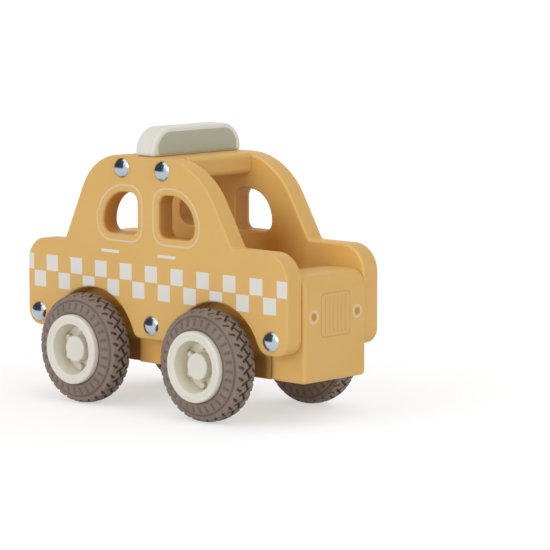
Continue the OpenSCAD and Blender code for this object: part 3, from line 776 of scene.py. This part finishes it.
# %% Chrome finish
def moulded_finish(name, light, dark, scale, rough, bump, metallic=0.0, tone=None):
    """A moulded or polished skin from the shared unevenness. rough is (least, spread)."""
    finish, tree, shader = new_finish(name)
    (x, y, z), coordinate = surface_mm(tree)
    skin = place_group(tree, fine_unevenness, coordinate, Scale=scale, Light=light, Dark=dark)
    colour = skin.outputs["Color"]
    if tone:
        deep, mask = tone(x, y, z)
        colour = blended(tree, mask, colour, deep)
    tree.links.new(colour, shader.inputs["Base Color"])
    roughness = Field(tree, skin.outputs["Cloud"]) * rough[1] + rough[0]
    tree.links.new(roughness.socket, shader.inputs["Roughness"])
    raise_surface(tree, shader, Field(tree, skin.outputs["Height"]), *bump)
    shader.inputs["Metallic"].default_value = metallic
    return finish


chrome = moulded_finish("chrome_dome", srgb(186, 197, 205), srgb(174, 186, 195), 900.0,
                        (0.16, 0.1), (0.02, 0.0001), metallic=1.0)
print("finish", chrome.name)

# %% [markdown]
# ## Chrome screws
# Ten dome-headed screws hold the boards to the blocks and the roof. They stand in straight rows, so one
# head is turned and a Geometry Nodes tree sets it out along a line, with the count and the spacing as
# inputs. The rows are then turned into plain meshes, because an export drops instances.

# %% Tree helpers
def new_tree(name, inputs):
    """A geometry tree with named inputs, geometry in and geometry out."""
    tree = bpy.data.node_groups.new(name, "GeometryNodeTree")
    tree.interface.new_socket("Geometry", in_out="OUTPUT", socket_type="NodeSocketGeometry")
    tree.interface.new_socket("Geometry", in_out="INPUT", socket_type="NodeSocketGeometry")
    for label, kind in inputs:
        tree.interface.new_socket(label, in_out="INPUT", socket_type="NodeSocket" + kind)
    return tree, tree.nodes.new("NodeGroupInput"), tree.nodes.new("NodeGroupOutput")


def chain(tree, *links):
    """Links given as (from node, its output, to node, its input)."""
    for source, out, target, place in links:
        tree.links.new(source.outputs[out], target.inputs[place])


def grown(name, tree, start, **values):
    """Runs a geometry tree on a starting mesh and keeps the result as a plain mesh object."""
    seed = bpy.data.objects.new(name + "_seed", start)
    bpy.context.collection.objects.link(seed)
    modifier = seed.modifiers.new(tree.name, "NODES")
    modifier.node_group = tree
    for item in tree.interface.items_tree:
        if item.in_out == "INPUT" and item.name in values:
            modifier[item.identifier] = values[item.name]
    view = bpy.context.evaluated_depsgraph_get()
    mesh = bpy.data.meshes.new_from_object(seed.evaluated_get(view), depsgraph=view)
    mesh.name = name
    bpy.data.objects.remove(seed)
    piece = bpy.data.objects.new(name, mesh)
    bpy.context.collection.objects.link(piece)
    return piece


print("tree helpers ready")

# %% Screw rows
def build_screw_row():
    """Sets a screw out along a line."""
    tree, given, out = new_tree("screw_row", [("Screw", "Object"), ("Count", "Int"),
                                              ("Start", "Vector"), ("Spacing", "Vector"),
                                              ("Finish", "Material")])
    line = tree.nodes.new("GeometryNodeMeshLine")
    screw = tree.nodes.new("GeometryNodeObjectInfo")
    stand = tree.nodes.new("GeometryNodeInstanceOnPoints")
    real = tree.nodes.new("GeometryNodeRealizeInstances")
    coat = tree.nodes.new("GeometryNodeSetMaterial")
    chain(tree, (given, "Count", line, "Count"), (given, "Start", line, "Start Location"),
          (given, "Spacing", line, "Offset"), (line, "Mesh", stand, "Points"),
          (given, "Screw", screw, "Object"), (screw, "Geometry", stand, "Instance"),
          (stand, "Instances", real, "Geometry"), (real, "Geometry", coat, "Geometry"),
          (given, "Finish", coat, "Material"), (coat, "Geometry", out, "Geometry"))
    return tree


screw_row = build_screw_row()
HEAD_R, HEAD_H, HEAD_STEPS = 4.5, 2.8, 40

# Rows are (count, first X, spacing, height).
rows = {"roof": (2, -19.204, 25.273, 107.5), "sill": (3, -73.919, 72.819, 38.1)}
for side, sign_y in (("right", -1), ("left", 1)):
    head = turned(f"head_{side}", dome_profile(HEAD_R, HEAD_H, BOARD_FACE), HEAD_STEPS, chrome,
                  lambda r, out, a, s=sign_y: (r * math.cos(a), s * out, r * math.sin(a)))
    for row, (count, first, step, height) in rows.items():
        screws = grown(f"{row}_heads_{side}", screw_row, bpy.data.meshes.new("row"), Screw=head,
                       Count=count, Start=(first * MM, 0.0, height * MM),
                       Spacing=(step * MM, 0.0, 0.0), Finish=chrome)
        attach(screws, "car_body")
        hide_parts(f"{row}_screws_{side}")
        print(screws.name, len(screws.data.polygons), "faces")
    bpy.data.objects.remove(head)

# %% [markdown]
# ## Wheels: hub and cap
# The cream hub is one moulding: a broad rolled lip, a steep dish and six round lugs round a
# flat cap. Down in the dish the cream is painted a yellower tone, as painted shade, by a mask on
# the distance from the axle. The lip and dish are turned from a profile whose corners have
# their own radii. The lugs are one small turned peg, set out in a ring by a second tree. The same ring
# tree will serve the tread.

# %% Hub finish
AXLE_Z = 25.0
axle_x = {"front": 37.4888, "rear": -39.4888}
# Painted shade: the yellower cream down in the dish.
PAINTED_DISH_SHADE = srgb(226, 218, 194)


def spoke_length(x, z):
    """Distance from the nearer axle."""
    from_axle = x - (x.above(0.0) * (axle_x["front"] - axle_x["rear"]) + axle_x["rear"])
    return hypotenuse(from_axle, z - AXLE_Z)


def dish_tone(x, y, z):
    """Painted shade in the dish: a yellower cream on its wall and its floor."""
    spoke, out = spoke_length(x, z), abs(y)
    wall = spoke.between(10.2, 11.45) * out.ramp(42.4, 37.4, 0.9)
    floor = out.below(35.5) * spoke.between(6.0, 10.4) * 0.8
    return PAINTED_DISH_SHADE, wall.most(floor)


hub_cream = moulded_finish("hub_plastic", srgb(221, 217, 207), srgb(214, 209, 197), 1800.0,
                           (0.32, 0.12), (0.06, 0.0001), tone=dish_tone)
print("finish", hub_cream.name)

# %% Ring tree
def build_ring():
    """Joins a mesh with a part repeated round an axle that lies along Y."""
    tree, given, out = new_tree("ring_round_axle", [("Part", "Object"), ("Count", "Int"),
                                                    ("Axle", "Vector"), ("Finish", "Material")])
    points = tree.nodes.new("GeometryNodePoints")
    index = tree.nodes.new("GeometryNodeInputIndex")
    share = tree.nodes.new("ShaderNodeMath")
    share.operation = "DIVIDE"
    turn = tree.nodes.new("ShaderNodeMath")
    turn.operation = "MULTIPLY"
    turn.inputs[1].default_value = 2 * math.pi
    about_y = tree.nodes.new("ShaderNodeCombineXYZ")
    swing = tree.nodes.new("FunctionNodeEulerToRotation")
    part = tree.nodes.new("GeometryNodeObjectInfo")
    stand = tree.nodes.new("GeometryNodeInstanceOnPoints")
    both = tree.nodes.new("GeometryNodeJoinGeometry")
    real = tree.nodes.new("GeometryNodeRealizeInstances")
    coat = tree.nodes.new("GeometryNodeSetMaterial")
    chain(tree, (given, "Count", points, "Count"), (given, "Axle", points, "Position"),
          (index, 0, share, 0), (given, "Count", share, 1), (share, 0, turn, 0),
          (turn, 0, about_y, "Y"), (about_y, 0, swing, 0), (swing, 0, stand, "Rotation"),
          (points, 0, stand, "Points"), (given, "Part", part, "Object"),
          (part, "Geometry", stand, "Instance"),
          (stand, "Instances", both, 0), (given, "Geometry", both, 0), (both, 0, real, "Geometry"),
          (real, "Geometry", coat, "Geometry"), (given, "Finish", coat, "Material"),
          (coat, "Geometry", out, "Geometry"))
    return tree


ring_round_axle = build_ring()
print("tree", ring_round_axle.name, len(ring_round_axle.nodes), "nodes")

# %% Hubs
wheel_spots = [(end, side, axle_x[end], (-1 if side == "right" else 1))
               for end in ("front", "rear") for side in ("right", "left")]

# Sections are (radius, distance out, corner radius), anticlockwise.
hub_section = [(2.0, 18.5, 0.0), (5.0, 18.5, 0.4), (5.0, 32.2, 0.4), (12.85, 32.2, 0.8),
               (12.85, 26.35, 0.2), (14.45, 26.35, 0.2), (14.45, 40.1, 0.1), (15.75, 40.1, 0.25),
               (15.75, 43.3, 1.0), (13.7, 43.2, 0.3), (13.45, 42.9, 0.25), (11.5, 42.75, 0.55),
               (10.35, 35.2, 0.6), (5.95, 35.2, 0.3), (5.95, 38.2, 0.1), (2.0, 38.2, 0.0)]
lug_section = [(0.0, 34.5, 0.0), (1.5, 34.5, 0.0), (1.5, 37.3, 0.45), (0.0, 37.3, 0.0)]
cap_section = [(0.0, 38.25, 0.0), (5.95, 38.25, 0.1), (5.95, 40.2, 0.6), (0.0, 40.2, 0.0)]
LUG_COUNT, LUG_R = 6, 8.55
LUG_STEPS, HUB_STEPS, CAP_STEPS = 16, 96, 64


def on_wheel(x, s, lag=0.0):
    """A place function for the wheel at x on side s, turned on by a lag."""
    return lambda r, out, a: (x + r * math.cos(a + lag), s * out, AXLE_Z + r * math.sin(a + lag))


for end, side, x, s in wheel_spots:
    lug = turned("lug", rounded_outline(lug_section, 15.0), LUG_STEPS, hub_cream,
                 lambda r, out, a, s=s: (r * math.cos(a), s * out, LUG_R + r * math.sin(a)))
    disc = turned("disc", rounded_outline(hub_section, 12.0), HUB_STEPS, hub_cream, on_wheel(x, s))
    hub = grown(f"wheel_hub_{end}_{side}", ring_round_axle, disc.data, Part=lug, Count=LUG_COUNT,
                Axle=(x * MM, 0.0, AXLE_Z * MM), Finish=hub_cream)
    cap = turned(f"wheel_cap_{end}_{side}", rounded_outline(cap_section, 12.0), CAP_STEPS, hub_cream,
                 on_wheel(x, s))
    for piece, node in ((hub, "hub"), (cap, "hub_cap")):
        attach(piece, f"{end}_wheelset")
        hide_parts(f"{node}_{end}_{side}")
    bpy.data.objects.remove(lug)
    bpy.data.objects.remove(disc)
    print(hub.name, len(hub.data.polygons), "faces")

# %% [markdown]
# ## Wheels: tread
# The tread is two halves that bite into each other along a zigzag groove, and each half is cut by
# slanted slots from the shoulder. It could be carved out of a plain tyre with a Boolean for each slot,
# but that is slow and leaves ragged faces. Instead one block is drawn as a flat plan, from slot to
# slot. The same plan turned half round is the other half, and the ring tree will set the pair round
# the axle 30 times. A block meets the next one at a seam under each slot, which stays flush.

# %% Tread plan
TYRE_R, TYRE_MID, TREAD_HALF, CROWN = 25.0, 33.6, 4.7, 0.8
TREAD_COUNT = 30
PITCH = 2 * math.pi * TYRE_R / TREAD_COUNT

# Corners are (share of a pitch round the tyre, mm across it). A seam is named by its first corner.
block_plan = [(0.03, -0.55), (0.65, 1.35), (0.46, 2.55), (0.55, 2.9), (0.66, 2.6), (0.87, 1.1),
              (1.03, -0.55), (1.0, 2.45), (0.88, 2.85), (0.92, 3.3), (1.0, 4.0), (1.13, 5.0),
              (0.32, 5.0), (0.2, 4.0), (0.14, 3.3), (0.12, 2.85), (0.0, 2.45)]
SEAMS = (6, 16)
HALF_TURN_AT = -0.2


def tread_top(w):
    """Radius of the crowned tread at a distance from its middle."""
    return TYRE_R - CROWN * (w / TREAD_HALF) ** 2


def drawn_in(plan, amount):
    """A plan in mm moved in along every edge but the seams, with the way out at each corner."""
    corners = []
    for k, here in enumerate(plan):
        before, after, sides = (k - 1) % len(plan), (k + 1) % len(plan), []
        for first, second, edge in ((plan[before], here, before), (here, plan[after], k)):
            way = (second - first).normalized()
            sides.append((Vector((-way.y, way.x)), 0.0 if edge in SEAMS else amount, edge in SEAMS))
        (n1, d1, s1), (n2, d2, s2) = sides
        det = n1.x * n2.y - n1.y * n2.x
        moved = here + n1 * d1
        if abs(det) > 0.05:
            moved = here + Vector((d1 * n2.y - d2 * n1.y, n1.x * d2 - n2.x * d1)) / det
        corners.append((moved, -(n1 * (not s1) + n2 * (not s2)).normalized()))
    return corners


print("pitch", round(PITCH, 2), "mm")

# %% [markdown]
# ## Wheels: rubber
# The tyre is soft taupe rubber. Its hollows are painted darker, as painted shade. How deep a point
# lies is a sum on its own coordinate: under the crowned tread it is a lack of radius, and on the
# sloping wall a lack of width. That depth darkens the colour, so grooves and dashes read clearly in
# any light.

# %% Rubber
# The third colour is painted shade for the tyre's hollows.
RUBBER, RUBBER_CLOUD, RUBBER_PAINTED_SHADE = srgb(136, 120, 109), srgb(121, 105, 95), srgb(88, 74, 66)
WALL_R, WALL_OUT, WALL_SLOPE = 17.5, 7.17, 0.356
taupe, rubber_tree, rubber_shader = new_finish("taupe_rubber")
(rx, ry, rz), rubber_at = surface_mm(rubber_tree)
spoke = spoke_length(rx, rz)
off_middle = abs(abs(ry) - TYRE_MID)
under_tread = (off_middle / TREAD_HALF).step("POWER", 2.0) * -CROWN + TYRE_R - spoke
under_wall = (spoke - WALL_R) * -WALL_SLOPE + WALL_OUT - off_middle
on_tread = off_middle.below(4.75) * spoke.above(22.3)
on_wall = spoke.between(WALL_R, 21.0)
# Painted shade: the ridge groove and everything deep under the tread or the wall is darkened.
ridge_groove = spoke.between(21.3, 22.05) * 0.45
hollow = (under_tread - 0.06) * 2.2 * on_tread + (under_wall - 0.15) * 1.3 * on_wall
hollow = hollow.most(0.0).most(ridge_groove).least(0.9)
skin = place_group(rubber_tree, fine_unevenness, rubber_at, Scale=2200.0, Light=RUBBER,
                   Dark=RUBBER_CLOUD)
rubber_tree.links.new(blended(rubber_tree, hollow, skin.outputs["Color"], RUBBER_PAINTED_SHADE),
                      rubber_shader.inputs["Base Color"])
rubber_roughness = Field(rubber_tree, skin.outputs["Cloud"]) * 0.2 + 0.6
rubber_tree.links.new(rubber_roughness.socket, rubber_shader.inputs["Roughness"])
raise_surface(rubber_tree, rubber_shader, Field(rubber_tree, skin.outputs["Height"]), 0.25, 0.0001)
print("finish", taupe.name)

# %% [markdown]
# ## Wheels: tread blocks
# The flat plan is wrapped round the tyre and given its depth. Moulded rubber has no sharp edges, so
# the plan is drawn in a little at the top and let out again on the way down, in four rings. A bevel
# would do this too, but it would also open the seams between neighbours.

# %% Tread blocks
# Rings are (mm drawn in, mm below the top, how far the normal leans out).
BLOCK_RINGS = ((0.36, 0.0, 0.0), (0.2, 0.12, 0.8), (0.06, 0.45, 3.0), (0.0, 1.9, 8.0))


def add_block(bm, normals, plan, s, start):
    """One tread block: a crowned top, a softened edge and walls that splay into the groove."""
    rings, across = [], Vector((0, s, 0))
    for amount, drop, lean in BLOCK_RINGS:
        ring = []
        for at, out in drawn_in(plan, amount):
            radius, angle = tread_top(at.y) - drop, at.x / TYRE_R + start
            outwards = Vector((math.cos(angle), 0, math.sin(angle)))
            along = Vector((-math.sin(angle), 0, math.cos(angle)))
            ring.append(bm.verts.new((outwards * radius + across * (TYRE_MID + at.y)) * MM))
            crowned = outwards + across * (2 * CROWN * at.y / TREAD_HALF ** 2)
            normals.append((crowned + (along * out.x + across * out.y) * lean).normalized())
        rings.append(ring)
    bm.faces.new(rings[0])
    bm.faces.new(rings[-1])
    for upper, lower in zip(rings, rings[1:]):
        for k in range(len(plan)):
            bm.faces.new((upper[k - 1], upper[k], lower[k], lower[k - 1]))


def tread_pitch(s, start):
    """One pitch of the tread: a block and the same block turned half round."""
    bm, normals = bmesh.new(), []
    for plan in (block_plan, [(HALF_TURN_AT - u, -w) for u, w in block_plan]):
        add_block(bm, normals, [Vector((u * PITCH, w)) for u, w in plan], s, start)
    return finish_mesh("tread_pitch", bm, normals, taupe)


print("plan corners", len(block_plan))

# %% [markdown]
# ## Wheels: tyre body
# Under the blocks the tyre is a turned ring. Its side wall slopes in to a groove under the tread and
# carries a ring of short pressed-in dashes, one for each pitch. The wall already has points all round,
# so a dash is simply the few of them that are pushed in.

# %% Tyre body
DASH_COLUMNS, DASH_WIDE, DASH_DEEP = 8, 3, 0.5
DASH_FROM, DASH_TO = 17.7, 20.7
DASH_LAG = math.radians(5.4)


def wall_corners(w_sign):
    """Side wall from the hub's lip to the tread floor, as (radius, distance out, corner radius)."""
    wall = [(16.95, 7.3, 1.0), (WALL_R, WALL_OUT, 0.0), (17.8, 7.08, 0.0), (19.2, 6.6, 0.0),
            (20.6, 6.08, 0.0), (20.9, 5.96, 0.0), (21.2, 5.85, 0.2), (21.4, 5.15, 0.15),
            (22.0, 4.95, 0.2), (22.3, 5.15, 0.2), (23.4, 4.95, 0.2), (23.6, 4.55, 0.2)]
    return [(r, TYRE_MID + w_sign * w, c) for r, w, c in wall]


def press_dashes(mesh, profile):
    """Pushes a short dash into both side walls once a pitch."""
    around = DASH_COLUMNS * TREAD_COUNT
    for row, (radius, out, _, _) in enumerate(profile):
        if DASH_FROM < radius < DASH_TO:
            for column in range(around):
                if column % DASH_COLUMNS < DASH_WIDE:
                    place = mesh.vertices[row * around + column].co
                    place.y *= 1 - math.copysign(DASH_DEEP, out - TYRE_MID) / out


carcass = ([(14.5, TYRE_MID + 6.45, 0.0), (14.5, TYRE_MID - 7.3, 0.8)] + wall_corners(-1)
           + [(23.5, TYRE_MID, 20.0)] + wall_corners(1)[::-1] + [(15.8, TYRE_MID + 6.45, 0.2)])
carcass_points = rounded_outline(carcass, 12.0)
print("tyre profile", len(carcass_points), "points")

# %% [markdown]
# ## Wheels: four tyres
# The ring tree now joins each body with its tread. The wheels of a toy stop at any angle, so the front
# and the rear pair start a few degrees apart, as they stand in the picture.

# %% Tyres
tread_start = {"front": math.radians(2.9), "rear": math.radians(8.6)}
for end, side, x, s in wheel_spots:
    start = tread_start[end]
    body = turned("carcass", carcass_points, DASH_COLUMNS * TREAD_COUNT, taupe,
                  on_wheel(x, s, start - DASH_LAG), exact=False)
    press_dashes(body.data, carcass_points)
    part = tread_pitch(s, start)
    tyre = grown(f"rubber_tyre_{end}_{side}", ring_round_axle, body.data, Part=part, Count=TREAD_COUNT,
                 Axle=(x * MM, 0.0, AXLE_Z * MM), Finish=taupe)
    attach(tyre, f"{end}_wheelset")
    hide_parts(f"tyre_{end}_{side}")
    bpy.data.objects.remove(part)
    bpy.data.objects.remove(body)
    print(tyre.name, len(tyre.data.polygons), "faces")

# %% [markdown]
# ## Pieces that keep their CAD shape
# The chassis, the cab floor, the axle rods and the glued dowels are plain stock that is already right,
# and mostly hidden. They only need their finishes: ochre paint, drawn steel and bare beech. The chassis
# paint is a lighter ochre as painted light, high in the arches the chassis and the floor's edge are
# painted a saturated orange as painted bounce light, and the waist behind the wheels is painted shade.

# %% Chassis, floor, axles and dowels
# Painted bounce light and painted shade: a saturated orange and a dark brown.
PAINTED_BOUNCE_ORANGE, PAINTED_SHADE_WOOD = srgb(238, 164, 70), srgb(154, 103, 50)


def chassis_tone(x, y, z):
    """Painted bounce light high in the arches, and painted shade in the waist beside the wheels."""
    waist = abs(y).ramp(19.9, 18.6, 0.9) * abs(x).ramp(61.4, 57.0)
    recess = waist * z.above(19.6) * z.ramp(34.0, 28.0)
    return [(PAINTED_BOUNCE_ORANGE, z.ramp(31.0, 35.0, 0.8)), (PAINTED_SHADE_WOOD, recess)]


def floor_tone(x, y, z):
    """Painted bounce light on the long edges, which the arches show."""
    return [(PAINTED_BOUNCE_ORANGE, abs(y).above(19.7) * 0.85)]


steel = moulded_finish("drawn_steel", srgb(178, 180, 182), srgb(150, 152, 155), 700.0,
                       (0.25, 0.2), (0.1, 0.0001), metallic=1.0)
beech = painted_finish("bare_beech", srgb(214, 178, 132), srgb(196, 154, 106), no_print)
# Painted light: the chassis paint is a lighter, warmer ochre than the boards'.
chassis_painted_light = painted_finish("chassis_paint", srgb(236, 187, 105), srgb(230, 178, 93), chassis_tone)
floor_paint = painted_finish("floor_paint", OCHRE, OCHRE_SHADE, floor_tone)
cad_finishes = {"chassis_block": chassis_painted_light, "floor_board": floor_paint, "front_axle": steel,
                "rear_axle": steel, "sign_dowels": beech, "front_dowels": beech, "rear_dowels": beech}
for node, finish in cad_finishes.items():
    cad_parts[node].data.materials.clear()
    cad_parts[node].data.materials.append(finish)
print("kept", sorted(cad_finishes))

# %% [markdown]
# ## Size
# The dressed car must fill the same box as the CAD model.
